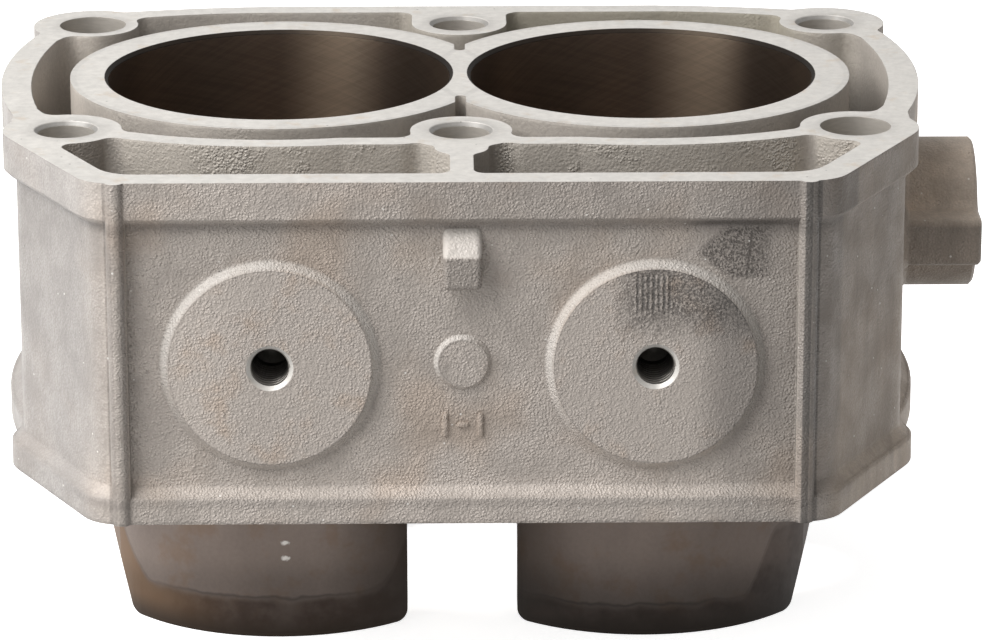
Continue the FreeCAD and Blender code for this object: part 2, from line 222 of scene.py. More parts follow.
class Finish:
    """A material in the making, with short calls for the nodes that the finishes share.

    Its softness is how far, in millimetres, the light sees the edges rounded.
    """

    def __init__(self, name, softness=0.3):
        self.material = bpy.data.materials.new(name)
        self.material.use_nodes = True
        self.tree = self.material.node_tree
        self.tree.nodes.clear()
        self.output = self.tree.nodes.new("ShaderNodeOutputMaterial")
        self.shader = self.tree.nodes.new("ShaderNodeBsdfPrincipled")
        self.link(self.shader.outputs[0], self.output.inputs["Surface"])
        place = self.tree.nodes.new("ShaderNodeTexCoord")
        in_mm = self.node("ShaderNodeVectorMath", "SCALE", place.outputs["Object"])
        in_mm.inputs["Scale"].default_value = 1 / MM
        self.mm = in_mm.outputs[0]
        self.x, self.y, self.z = self.node("ShaderNodeSeparateXYZ", None, self.mm).outputs
        rounded = self.tree.nodes.new("ShaderNodeBevel")
        rounded.samples = 3
        rounded.inputs["Radius"].default_value = softness * MM
        self.soft_radius = rounded.inputs["Radius"]
        self.soft_normal = rounded.outputs[0]

    def link(self, source, target):
        self.tree.links.new(source, target)

    def feed(self, socket, value):
        if isinstance(value, bpy.types.NodeSocket):
            self.link(value, socket)
        elif value is not None:
            socket.default_value = value

    def node(self, kind, operation=None, *values):
        made = self.tree.nodes.new(kind)
        if operation:
            made.operation = operation
        for socket, value in zip(made.inputs, values):
            self.feed(socket, value)
        return made

    def math(self, operation, *values):
        return self.node("ShaderNodeMath", operation, *values).outputs[0]

    def times(self, *values):
        result = values[0]
        for value in values[1:]:
            result = self.math("MULTIPLY", result, value)
        return result

    def most(self, *values):
        result = values[0]
        for value in values[1:]:
            result = self.math("MAXIMUM", result, value)
        return result

    def between(self, value, low, high, to_low=0.0, to_high=1.0):
        """A smooth step from one value to another as the input goes from low to high."""
        made = self.tree.nodes.new("ShaderNodeMapRange")
        made.interpolation_type = "SMOOTHSTEP"
        for socket, given in zip(made.inputs, (value, low, high, to_low, to_high)):
            self.feed(socket, given)
        return made.outputs[0]

    def window(self, value, low, high, soft):
        """1 between two limits, falling to 0 over a soft edge."""
        rise = self.between(value, low - soft, low + soft)
        fall = self.between(value, high - soft, high + soft, 1.0, 0.0)
        return self.times(rise, fall)

    def round_away(self, across, up, point):
        """The distance from an axis, from the two coordinates at right angles to it."""
        run = self.math("SUBTRACT", across, point[0])
        rise = self.math("SUBTRACT", up, point[1])
        return self.math("SQRT", self.math("ADD", self.times(run, run), self.times(rise, rise)))

    def across_bore(self):
        """How far right of its bore's axis a point lies, and which side that bore is on."""
        side = self.math("SIGN", self.x)
        return self.math("SUBTRACT", self.x, self.times(side, BORE_X)), side

    def stretched(self, factors):
        """The millimetres in a space stretched or squeezed along the axes."""
        return self.node("ShaderNodeVectorMath", "MULTIPLY", self.mm, factors).outputs[0]

    def noise(self, feature, detail=4.0, roughness=0.55, space=None):
        """Cloudy noise with features of about a size in millimetres, from 0 to 1."""
        made = self.tree.nodes.new("ShaderNodeTexNoise")
        self.feed(made.inputs["Vector"], space or self.mm)
        made.inputs["Scale"].default_value = 1 / feature
        made.inputs["Detail"].default_value = detail
        made.inputs["Roughness"].default_value = roughness
        return made.outputs["Fac"]

    def cells(self, feature):
        """The distance from the nearest of many scattered points, as a share of their spacing."""
        made = self.tree.nodes.new("ShaderNodeTexVoronoi")
        self.link(self.mm, made.inputs["Vector"])
        made.inputs["Scale"].default_value = 1 / feature
        return made.outputs["Distance"]

    def grains(self, feature, strength):
        """Rounded grains of about a size in millimetres, of a given strength."""
        domes = self.between(self.cells(feature * 0.7), 0.0, 0.8, 0.75, 0.0)
        sand = self.noise(feature / 2, 1.0, 0.5)
        return self.times(self.math("ADD", domes, sand), strength, 0.65)

    def waves(self, spacing, space, warp=0.0):
        """Even waves along X, with a spacing that goes by the millimetres of the space."""
        made = self.tree.nodes.new("ShaderNodeTexWave")
        made.bands_direction = "X"
        self.link(space, made.inputs["Vector"])
        made.inputs["Scale"].default_value = 1 / spacing
        made.inputs["Distortion"].default_value = warp
        return made.outputs["Fac"]

    def mix(self, share, first, second, blend="MIX"):
        made = self.tree.nodes.new("ShaderNodeMix")
        made.data_type = "RGBA"
        made.blend_type = blend
        self.feed(made.inputs[0], share)
        self.feed(made.inputs[MIX_FIRST], first)
        self.feed(made.inputs[MIX_SECOND], second)
        return made.outputs[MIX_RESULT]

    def dimmed(self, base, share, factor):
        """A colour multiplied by a factor where a share says so."""
        return self.shade(base, share, 1.0, factor)

    def shade(self, base, share, low, high):
        """A colour made darker or lighter by a factor that runs from low to high with a share."""
        level = self.between(share, 0.0, 1.0, low, high)
        grey = self.node("ShaderNodeCombineXYZ", None, level, level, level).outputs[0]
        return self.mix(1.0, base, grey, "MULTIPLY")

    def bump(self, height, depth, normal=None):
        """Relief of a depth in millimetres, over another relief or over the softened edges."""
        made = self.tree.nodes.new("ShaderNodeBump")
        made.inputs["Distance"].default_value = depth * MM
        self.feed(made.inputs["Height"], height)
        self.feed(made.inputs["Normal"], normal or self.soft_normal)
        return made.outputs[0]

    def done(self, base, roughness, normal=None, metallic=0.0):
        self.feed(self.shader.inputs["Base Color"], base)
        self.feed(self.shader.inputs["Roughness"], roughness)
        self.feed(self.shader.inputs["Normal"], normal)
        self.feed(self.shader.inputs["Metallic"], metallic)
        return self.material


def skin_at_ends(skin, colours, base, right_end, streak):
    """A cooler grey at the left-hand end, and a browner, streaky skin at the right-hand one, with
    painted shade under the flange.
    """
    left_end = skin.between(skin.x, -86.0, -77.5, 1.0, 0.0)
    base = skin.mix(skin.times(left_end, 0.7), base, colours.cast_cool)
    base = skin.mix(skin.times(right_end, 0.7), base, colours.cast_brown)
    base = skin.mix(right_end, base, skin.shade(base, streak, 0.8, 1.18))
    # Painted shade: the right-hand end darker on its upper part, under the flange
    return skin.dimmed(base, skin.times(right_end, skin.between(skin.z, -45.0, -25.0)), 0.8)


def skin_at_raised_edges(skin, colours, base, front):
    """Painted highlights on the flanks of the pads and the upper left of the disc's flank, painted
    shade in a thin ring on the disc, crisp edges on the pads and the disc, and soft roots on the
    front wall.
    """
    roots = skin.most(skin.window(skin.z, -14.0, -9.4, 0.5), skin.between(skin.z, -67.0, -69.0))
    crisp = 1.0
    for pad in PADS:
        away = skin.round_away(skin.x, skin.z, pad)
        # Painted highlight: the pads' flanks paler, most of all on their upper part
        lit = skin.between(skin.z, -60.0, -36.0, 0.1, 0.4)
        arc = skin.times(skin.window(away, 22.6, 24.2, 0.5), front, lit)
        base = skin.mix(arc, base, colours.speck_and_highlight)
        roots = skin.most(roots, skin.window(away, 24.0, 26.0, 0.3))
        crisp = skin.times(crisp, skin.between(away, 23.4, 24.0, 0.5, 1.0))
    disc = skin.round_away(skin.x, skin.z, DISC)
    crisp = skin.times(crisp, skin.between(disc, 7.0, 8.0, 0.4, 1.0))
    softness = skin.between(roots, 0.0, 1.0, CAST_SOFTNESS * MM, ROOT_SOFTNESS * MM)
    skin.feed(skin.soft_radius, skin.times(softness, crisp))
    # Painted highlight on the upper left of the disc's flank
    facing = skin.between(skin.math("SUBTRACT", skin.z, skin.x), -42.0, -36.0)
    flank = skin.times(skin.window(disc, 5.4, 6.4, 0.2), front)
    base = skin.mix(skin.times(flank, facing, 0.35), base, colours.speck_and_highlight)
    # Painted shade: a thin dark ring just inside the disc's flank
    return skin.dimmed(base, skin.times(skin.window(disc, 5.0, 5.3, 0.15), front), 0.8)


def skin_at_port(skin, base, right_end):
    """The coolant boss, with painted light on its top, and the wall beside and below it, with
    painted light on the base flange.
    """
    port = skin.between(skin.x, 103.0, 106.0)
    # Painted light on the boss's top
    base = skin.dimmed(base, skin.times(port, skin.between(skin.z, -34.0, -32.0)), 1.8)
    # Painted light on the base flange under the right-hand end
    foot = skin.between(skin.z, -71.0, -69.0, 1.0, 0.0)
    base = skin.dimmed(base, skin.times(right_end, foot), 1.45)
    base = skin.dimmed(base, skin.between(skin.x, 97.0, 99.0), 1.2)
    port_lug = skin.times(port, skin.window(skin.z, -43.0, -32.0, 0.8),
                          skin.between(skin.y, -6.0, -3.0, 1.0, 0.0))
    return skin.dimmed(base, port_lug, 0.75)


def skin_on_front(skin, base, front):
    """Painted light and shade on the front wall and on the flange above it."""
    # Painted shade: the left-hand end below the flange darker, more so towards the top
    below_flange = skin.between(skin.z, -9.0, -10.5)
    left = skin.times(skin.between(skin.x, -79.5, -78.0, 1.0, 0.0), below_flange)
    darker = skin.shade(base, skin.between(skin.z, -60.0, -30.0), 0.92, 0.84)
    base = skin.mix(left, base, darker)
    # Painted shade: the flange's front band darker towards the right
    flange = skin.times(front, skin.between(skin.z, -10.4, -9.0))
    base = skin.mix(flange, base, skin.shade(base, skin.between(skin.x, -50.0, 15.0), 1.06, 0.8))
    # Partly dirt and partly painted shade: the front wall darker towards the right
    base = skin.dimmed(base, skin.times(front, skin.between(skin.x, 46.0, 70.0)), 0.72)
    # Painted shadow under the flange
    base = skin.dimmed(base, skin.times(front, skin.window(skin.z, -12.0, -9.3, 1.5)), 0.74)
    # Painted shade along the top of the base flange's front band
    base = skin.dimmed(base, skin.times(front, skin.window(skin.z, -75.0, -73.0, 1.0)), 0.84)
    # Painted light: the lower front wall lighter
    base = skin.dimmed(base, skin.times(front, skin.between(skin.z, -55.0, -65.0)), 1.08)
    # Painted highlight on the base flange's upward slope
    inner = skin.window(skin.x, -73.0, 73.0, 0.5)
    ledge = skin.window(skin.z, -72.4, -68.5, 2.0)
    return skin.dimmed(base, skin.times(front, inner, ledge), 1.12)


def skin_under_stain(skin, colours, base, front):
    """The ragged soot stain beside the right pad, with a scratch in it and a smear above."""
    above = skin.math("ABSOLUTE", skin.math("ADD", skin.z, 16.8))
    taper = skin.between(skin.x, 49.0, 60.0, 0.0, 6.2)
    ragged = skin.math("ADD", taper, skin.times(skin.noise(3.0, 3.0, 0.7), 2.5))
    shape = skin.between(skin.math("SUBTRACT", ragged, above), 0.3, 2.5)
    stain = skin.times(front, shape, skin.window(skin.x, 51.5, 67.0, 2.5))
    speckle = skin.between(skin.noise(0.55, 2.0, 0.7), 0.44, 0.56, 0.3, 1.0)
    base = skin.mix(skin.times(stain, speckle, 0.9), base, colours.soot)
    slanted = skin.math("SUBTRACT", skin.x, skin.math("ADD", skin.times(skin.z, 0.11), 64.6))
    scratch = skin.times(skin.window(slanted, -0.25, 0.25, 0.2),
                         skin.window(skin.z, -22.8, -12.0, 0.8), front)
    smear = skin.times(skin.window(skin.x, 50.0, 71.0, 5.0),
                       skin.window(skin.z, -10.8, -9.0, 0.5), front)
    return skin.mix(skin.times(skin.most(scratch, smear), 0.85), base, colours.soot)


def cast_skin(colours):
    """Sand-cast outer skin: sandy grain, cloudy bloom, soot and small white specks, with painted
    light and shade on its ends, raised parts, ribs and front wall.
    """
    skin = Finish("cast_skin", CAST_SOFTNESS)
    cloud = skin.noise(26.0, 2.0)
    patch = skin.noise(9.0, 3.0)
    grain = skin.grains(0.85, skin.between(patch, 0.3, 0.65, 0.6, 1.1))
    streak = skin.noise(3.5, 3.0, 0.6, skin.stretched((1.0, 1.0, 0.12)))
    front = skin.between(skin.y, -84.0, -80.0, 1.0, 0.0)
    right_end = skin.between(skin.x, 78.0, 84.0)
    lug = skin.times(skin.between(skin.y, -89.9, -89.6, 1.0, 0.0),
                     skin.window(skin.x, -4.4, 4.4, 0.1))
    lug_slope = skin.times(lug, skin.window(skin.z, -16.7, -11.0, 0.4))
    lug_face = skin.times(lug, skin.window(skin.z, -24.6, -16.7, 0.4), 0.4)

    base = skin.mix(skin.between(cloud, 0.48, 0.7, 0.0, 0.45), colours.cast, colours.cast_warm)
    base = skin.shade(base, patch, 0.88, 1.1)
    base = skin_at_ends(skin, colours, base, right_end, streak)
    base = skin.shade(base, grain, 0.88, 1.14)
    base = skin_at_raised_edges(skin, colours, base, front)
    base = skin_at_port(skin, base, right_end)
    base = skin_on_front(skin, base, front)
    # Painted highlight on the lug's upward slope
    base = skin.mix(skin.times(lug_slope, 0.3), base, colours.speck_and_highlight)
    base = skin.mix(lug_face, base, colours.soot)
    # Painted light and shade on the ribs: a lit strip and shaded bands, with streaks
    for low, high, factor in RIB_LIGHT_AND_SHADE:
        line = skin.times(front, skin.window(skin.x, low, high, 0.2))
        base = skin.mix(line, base, skin.shade(base, streak, factor * 0.85, factor * 1.15))
    base = skin_under_stain(skin, colours, base, front)
    dirt = skin.between(skin.noise(1.8, 3.0, 0.6), 0.7, 0.76)
    base = skin.mix(skin.times(dirt, 0.5), base, colours.soot)
    specks = skin.between(skin.cells(5.0), 0.06, 0.035, 0.0, 0.8)
    base = skin.mix(specks, base, colours.speck_and_highlight)

    smooth = skin.between(skin.x, -79.0, -73.5, 1.0, 0.0)
    smooth = skin.most(smooth, skin.times(right_end, 0.6), lug_slope)
    depth = skin.between(smooth, 0.0, 1.0, 1.0, 0.3)
    relief = skin.bump(skin.noise(1.5, 2.0), 0.25)
    relief = skin.bump(skin.times(grain, depth), 0.38, relief)
    rough = skin.between(patch, 0.3, 0.7, 0.62, 0.5)
    return skin.done(base, rough, relief, 0.1)


def milled_deck(colours):
    """Milled faces: pale and mottled, with fine cutter arcs, scratches, faint brown stains and
    painted shade on the chamfers of the holes.
    """
    deck = Finish("milled_deck")
    cloud = deck.noise(18.0, 4.0)
    mottle = deck.noise(2.6, 4.0, 0.7)
    base = deck.shade(colours.deck, cloud, 0.93, 1.05)
    base = deck.shade(base, mottle, 0.78, 1.14)
    arc = deck.round_away(deck.x, deck.y, CUTTER_AXIS)
    arc_line = deck.node("ShaderNodeCombineXYZ", None, arc, 0.0, 0.0).outputs[0]
    cutter = deck.waves(7.0, arc_line, 0.4)
    fine = deck.noise(0.7, 2.0, 0.7, deck.stretched((0.25, 1.0, 1.0)))
    base = deck.shade(base, fine, 0.94, 1.05)
    brown = deck.times(deck.between(deck.noise(7.0, 4.0, 0.65), 0.56, 0.72), 0.45)
    base = deck.mix(brown, base, colours.stain)
    for bore in BORES:
        away = deck.round_away(deck.x, deck.y, bore)
        base = deck.dimmed(base, deck.window(away, 47.4, 49.0, 0.5), 0.9)
        base = deck.mix(deck.between(away, 40.6, 41.0, 0.5, 0.0), base, colours.varnish)
    halos = [deck.between(deck.round_away(deck.x, deck.y, bolt), 6.6, 11.5, 1.0, 0.0)
             for bolt in BOLTS]
    base = deck.mix(deck.times(deck.most(*halos), 0.2), base, colours.soot)
    nicks = deck.between(deck.cells(6.5), 0.05, 0.03, 0.0, 0.6)
    base = deck.mix(nicks, base, colours.soot)
    # Painted shade on the chamfers of the holes, just below the deck
    base = deck.dimmed(base, deck.window(deck.z, -1.2, -0.15, 0.1), 0.55)
    relief = deck.bump(cutter, 0.012)
    relief = deck.bump(fine, 0.02, relief)
    relief = deck.bump(mottle, 0.05, relief)
    rough = deck.between(cloud, 0.3, 0.7, 0.42, 0.52)
    return deck.done(base, rough, relief, 0.25)


def pad_face(colours):
    """The round pads: the same sandy skin, darkened on the upper half of the right one, with
    painted light and shade on their sides and along the chatter ridges.
    """
    pad = Finish("pad_face", 0.5)
    patch = pad.noise(8.0, 3.0)
    grain = pad.grains(0.85, pad.between(patch, 0.3, 0.65, 0.6, 1.1))
    base = pad.mix(pad.between(patch, 0.5, 0.75, 0.0, 0.5), colours.cast, colours.cast_warm)
    base = pad.shade(base, grain, 0.93, 1.1)
    ragged = pad.times(pad.noise(4.0, 4.0, 0.65), 9.0)
    upper = pad.times(pad.between(pad.math("ADD", pad.x, ragged), 36.0, 44.0),
                      pad.between(pad.math("ADD", pad.z, ragged), -35.0, -24.0))
    speckle = pad.between(pad.noise(0.55, 2.0, 0.7), 0.42, 0.56, 0.15, 0.95)
    base = pad.mix(pad.times(upper, speckle, 0.8), base, colours.soot)
    base = pad.dimmed(base, upper, 0.8)
    # Partly dirt and partly painted shade: the right pad darker towards its right
    base = pad.dimmed(base, pad.between(pad.x, 46.0, 62.0), 0.52)
    # Painted light: the left pad lighter towards its left
    base = pad.dimmed(base, pad.between(pad.x, -42.0, -62.0), 1.15)
    rims = [pad.between(pad.round_away(pad.x, pad.z, centre), 21.9, 22.4) for centre in PADS]
    base = pad.dimmed(base, pad.times(*rims), 0.75)
    # Painted light and shade along the chatter ridges, over their bump
    ridges = pad.waves(3.7, pad.mm)
    chatter = pad.times(pad.window(pad.x, 37.7, 46.0, 0.4), pad.window(pad.z, -30.0, -21.5, 1.2))
    base = pad.mix(chatter, base, pad.shade(base, ridges, 0.5, 1.25))
    relief = pad.bump(pad.noise(1.5, 2.0), 0.2)
    relief = pad.bump(grain, 0.38, relief)
    relief = pad.bump(pad.times(ridges, chatter), 0.2, relief)
    return pad.done(base, 0.55, relief, 0.15)


def cavity_skin(colours):
    """Cast walls: sandy, with rough clusters in the galleries, smoother in the jacket, with
    painted shade deeper down and painted light at the left-hand end.
    """
    cavity = Finish("cavity_skin", 1.0)
    gallery = cavity.between(cavity.y, -56.5, -55.5, 1.0, 0.0)
    cluster = cavity.between(cavity.noise(10.0, 3.0, 0.6), 0.5, 0.64, 0.2, 0.65)
    for low, high in ROUGH_CLUSTERS:
        cluster = cavity.most(cluster, cavity.times(cavity.window(cavity.x, low, high, 1.2), 0.9))
    crust = cavity.grains(1.0, cavity.times(cluster, cavity.between(gallery, 0.0, 1.0, 0.25, 1.0)))
    grain = cavity.noise(0.9, 2.0, 0.7)
    cloud = cavity.noise(12.0, 2.0)
    base = cavity.mix(gallery, colours.jacket, colours.cavity)
    base = cavity.shade(base, cloud, 0.85, 1.12)
    base = cavity.shade(base, grain, 0.85, 1.12)
    # Painted shade: darker deeper down
    base = cavity.shade(base, cavity.between(cavity.z, -56.0, -2.0), 0.45, 1.12)
    base = cavity.mix(cavity.times(cavity.between(crust, 0.4, 0.6), 0.12), base, colours.speck_and_highlight)
    ends = cavity.most(cavity.between(cavity.x, -76.0, -80.0),
                       cavity.times(cavity.window(cavity.x, 0.0, 8.0, 1.0), 0.8))
    base = cavity.mix(cavity.times(gallery, ends, 0.45), base, colours.varnish)
    # Painted light: the left-hand end lighter, easing the painted shade there
    base = cavity.dimmed(base, cavity.between(cavity.x, -84.0, -90.0), 1.35)
    base = cavity.dimmed(base, cavity.times(gallery, cavity.between(cavity.x, -15.0, -40.0)), 1.13)
    olive = cavity.times(cavity.between(cavity.y, 30.0, 45.0),
                         cavity.between(cavity.x, -30.0, 10.0), 0.5)
    base = cavity.mix(olive, base, colours.olive)
    relief = cavity.bump(grain, 0.12)
    relief = cavity.bump(crust, 0.55, relief)
    return cavity.done(base, 0.6, relief, 0.15)


def honed_bore(colours):
    """The honed bore wall: dark and glossy with a fine cross-hatch, a painted pale upright sheen
    and painted shade on either side of it.
    """
    bore = Finish("honed_bore")
    across, side = bore.across_bore()
    along = bore.times(bore.math("ARCTAN2", across, bore.y), 40.0)
    hatch = None
    for lean in (0.3, -0.5):
        line = bore.math("ADD", bore.z, bore.times(along, lean))
        strip = bore.node("ShaderNodeCombineXYZ", None, line, bore.times(along, 0.04), 0.0)
        scratch = bore.noise(1.1, 3.0, 0.8, strip.outputs[0])
        hatch = scratch if hatch is None else bore.math("ADD", hatch, scratch)
    hatch = bore.times(hatch, 0.5)
    # Painted reflection: a pale upright sheen right of each bore's axis, with painted shade
    # further right and at the far left
    band = bore.math("SUBTRACT", across, bore.times(side, 1.5))
    sheen = bore.times(bore.between(band, -0.5, 15.0), bore.between(band, 15.0, 27.0, 1.0, 0.0))
    base = bore.mix(sheen, colours.bore, colours.painted_bore_sheen)
    base = bore.dimmed(base, bore.between(across, 20.0, 32.0), 0.6)
    base = bore.dimmed(base, bore.between(across, -28.0, -38.0), 0.75)
    base = bore.shade(base, bore.between(hatch, 0.3, 0.7), 0.86, 1.1)
    base = bore.dimmed(base, bore.between(bore.z, *BORE_LIP_Z), 0.12)
    relief = bore.bump(hatch, 0.02)
    rough = bore.between(bore.z, *BORE_LIP_Z, 0.32, 0.65)
    return bore.done(base, rough, relief, 0.9)


def oiled_skirt(colours):
    """The outside of the skirts: dark, half glossy, with brown varnish below a worn line, and
    painted shade on their feet and inner sides, on the right skirt, towards the bottom and under
    the base.
    """
    skirt = Finish("oiled_skirt")
    cloud = skirt.noise(16.0, 4.0, 0.6, skirt.stretched((1.0, 1.0, 0.5)))
    fine = skirt.noise(0.9, 2.0, 0.6)
    base = skirt.shade(colours.skirt, cloud, 0.78, 1.15)
    base = skirt.shade(base, fine, 0.92, 1.07)
    tinge = skirt.between(skirt.noise(11.0, 4.0, 0.65), 0.5, 0.68)
    base = skirt.mix(skirt.times(tinge, 0.35), base, colours.tan)
    right = skirt.between(skirt.x, -2.0, 2.0)
    lean = skirt.math("ABSOLUTE", skirt.math("ADD", skirt.across_bore()[0], 4.0))
    steep = skirt.between(lean, 24.0, 36.0)
    rise = skirt.times(steep, steep, 15.0)
    wander = skirt.times(skirt.noise(7.0, 2.0), 3.0)
    line = skirt.math("ADD", skirt.math("ADD", rise, wander), skirt.times(right, -2.5))
    over = skirt.math("SUBTRACT", skirt.z, skirt.math("ADD", line, WORN_LINE_Z))
    below = skirt.between(over, -2.0, 0.6, 1.0, 0.0)
    blotch = skirt.between(skirt.noise(9.0, 4.0), 0.35, 0.7, 0.55, 1.0)
    base = skirt.mix(skirt.times(below, blotch, 0.9), base, colours.varnish)
    outer = skirt.between(skirt.x, -77.0, -50.0, 0.8, 0.0)
    base = skirt.mix(skirt.times(outer, below), base, colours.tan)
    thin = skirt.window(over, -0.4, 0.2, 0.4)
    thin = skirt.times(thin, skirt.between(lean, 12.0, 26.0, 0.7, 0.25))
    base = skirt.mix(thin, base, colours.soot)
    # Painted shade on the skirts' feet and on their inner sides, which face each other
    foot = skirt.between(skirt.z, -123.9, -117.5, 0.9, 0.0)
    edge = skirt.between(skirt.math("ABSOLUTE", skirt.x), 12.0, 34.0, 0.75, 0.0)
    base = skirt.mix(skirt.most(foot, edge), base, colours.oil)
    # Painted shade: the right skirt darker, more so lower down
    base = skirt.dimmed(base, right, skirt.between(skirt.z, -119.0, -108.0, 0.5, 0.85))
    # Painted shade: darker towards the bottom
    fall = skirt.math("ADD", skirt.z, skirt.times(skirt.y, 0.32))
    base = skirt.shade(base, skirt.between(fall, -128.0, -115.0), 0.7, 1.0)
    # Painted shade under the base flange
    under = skirt.between(skirt.z, -86.0, -79.0, 0.0, 0.35)
    base = skirt.mix(under, base, colours.soot)
    ragged = skirt.times(skirt.noise(0.8, 2.0), 1.4)
    for height in FLECKS_Z:
        away = skirt.round_away(skirt.x, skirt.times(skirt.z, 1.7), (FLECK_X, height * 1.7))
        spot = skirt.between(skirt.math("ADD", away, ragged), 1.2, 2.0, 0.85, 0.0)
        spot = skirt.times(spot, skirt.between(skirt.y, -42.0, -40.0, 1.0, 0.0))
        base = skirt.mix(spot, base, colours.speck_and_highlight)
    relief = skirt.bump(fine, 0.02)
    relief = skirt.bump(cloud, 0.12, relief)
    skirt.shader.inputs["Specular IOR Level"].default_value = 0.2
    return skirt.done(base, 0.38, relief, 0.25)


def drilled_hole(colours):
    """Drilled holes: pale where the drill has cut, with painted shade that darkens them with
    depth.
    """
    hole = Finish("drilled_hole")
    rings = hole.noise(0.6, 2.0, 0.6, hole.stretched((0.2, 0.2, 1.0)))
    base = hole.shade(colours.drilled, rings, 0.85, 1.1)
    # Painted shade: darker with depth
    deep = hole.between(hole.z, -30.0, -3.0, 0.55, 1.0)
    base = hole.shade(base, deep, 0.0, 1.0)
    relief = hole.bump(rings, 0.02)
    return hole.done(base, 0.42, relief, 0.35)


def tapped_hole(colours):
    """Tapped holes: dark and glossy inside the thread."""
    hole = Finish("tapped_hole")
    base = hole.shade(colours.drilled, hole.noise(0.8, 2.0), 0.25, 0.4)
    return hole.done(base, 0.35, None, 0.6)


FINISHES = (cast_skin, milled_deck, pad_face, cavity_skin, honed_bore, oiled_skirt, drilled_hole,
            tapped_hole)


def near_axis(across, up, axis, radius):
    return math.hypot(across - axis[0], up - axis[1]) < radius


def in_bore(x, y, normal, bore):
    """Whether a face near a bore's wall also looks towards its axis."""
    inward = (bore[0] - x) * normal.x + (bore[1] - y) * normal.y
    return near_axis(x, y, bore, BORE_REACH) and inward > LOOKS_AT_AXIS


def finish_of(centre, normal, faces_a_wall):
    """Which finish a face of the casting has, from its middle in millimetres and its direction."""
    x, y, z = centre
    if z < BORE_TOP_Z and any(in_bore(x, y, normal, bore) for bore in BORES):
        return honed_bore
    if z > DECK_EDGE_Z and normal.z > LOOKS_PARTLY:
        return milled_deck
    if z < BASE_Z - CLOSE:
        return oiled_skirt
    if z < BASE_Z + CLOSE and normal.z < -LOOKS_STRAIGHT:
        return milled_deck
    if any(near_axis(x, y, bolt, BOLT_REACH) for bolt in BOLTS):
        return drilled_hole
    if any(near_axis(x, z, pad, PAD_HOLE_REACH) for pad in PADS) and y < PAD_HOLE_Y:
        return milled_deck if normal.y < -LOOKS_PARTLY and y < PAD_MOUTH_Y else tapped_hole
    if any(near_axis(x, z, pad, PAD_REACH) for pad in PADS) and y < PAD_FACE_Y + CLOSE / 2:
        return pad_face
    if x > PORT_START_X and near_axis(y, z, PORT, PORT_REACH):
        return drilled_hole
    if x > PORT_SCREW_X and near_axis(y, z, PORT_SCREW, PORT_SCREW_REACH):
        at_mouth = normal.x > LOOKS_PARTLY and x > PORT_END_X - PORT_SCREW_MOUTH
        return milled_deck if at_mouth else tapped_hole
    if x > PORT_END_X - CLOSE / 2 and normal.x > LOOKS_STRAIGHT:
        return milled_deck
    in_gallery = GALLERY_Y[0] < y < GALLERY_Y[1] and abs(x) < GALLERY_END_X
    on_floor = abs(z - JACKET_FLOOR_Z) < CLOSE and normal.z > LOOKS_STRAIGHT
    if in_gallery or on_floor or (abs(normal.z) < LOOKS_SIDEWAYS and faces_a_wall):
        return cavity_skin
    return cast_skin


def link(obj):
    bpy.context.scene.collection.objects.link(obj)
    return obj


def evaluated_mesh(obj):
    """The object's mesh with its modifiers applied, which are then removed."""
    bpy.context.view_layer.update()
    graph = bpy.context.evaluated_depsgraph_get()
    made = bpy.data.meshes.new_from_object(obj.evaluated_get(graph))
    obj.modifiers.clear()
    return made


def make_casting(sizes, colours):
    """The casting with soft edges and a finish on each kind of face, for its plain solid."""
    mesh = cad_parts[NODE].data.copy()
    mesh.name = "barrel_casting"
    mesh.materials.clear()
    shape = bmesh.new()
    shape.from_mesh(mesh)
    bmesh.ops.remove_doubles(shape, verts=shape.verts, dist=JOINED_WITHIN * MM)
    shape.normal_update()
    tree = BVHTree.FromBMesh(shape)
    for face in shape.faces:
        centre = sum((corner.co for corner in face.verts), Vector()) / len(face.verts)
        start = centre + face.normal * LOOKOUT * MM
        wall = tree.ray_cast(start, face.normal, WALL_WITHIN)[0]
        chosen = finish_of(centre / MM, face.normal, wall is not None)
        face.material_index = FINISHES.index(chosen)
        face.smooth = True
    bmesh.ops.dissolve_limit(shape, angle_limit=math.radians(FLAT_WITHIN), verts=shape.verts,
                             edges=shape.edges, delimit={"MATERIAL"})
    shape.to_mesh(mesh)
    shape.free()
    for finish in FINISHES:
        mesh.materials.append(finish(colours))
    casting = link(bpy.data.objects.new("barrel_casting", mesh))
    soften = casting.modifiers.new("soft edges", "BEVEL")
    soften.width = sizes.edge_softness
    soften.segments = 2
    soften.limit_method = "ANGLE"
    soften.angle_limit = math.radians(SOFTENED_FROM)
    soften.miter_outer = "MITER_ARC"
    casting.data = evaluated_mesh(casting)
    casting.data.set_sharp_from_angle(angle=math.radians(SHARP_FROM))
    casting.modifiers.new("flat faces stay flat", "WEIGHTED_NORMAL").keep_sharp = True
    casting.data = evaluated_mesh(casting)
    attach(casting, BODY)
    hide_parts(NODE)
    return casting


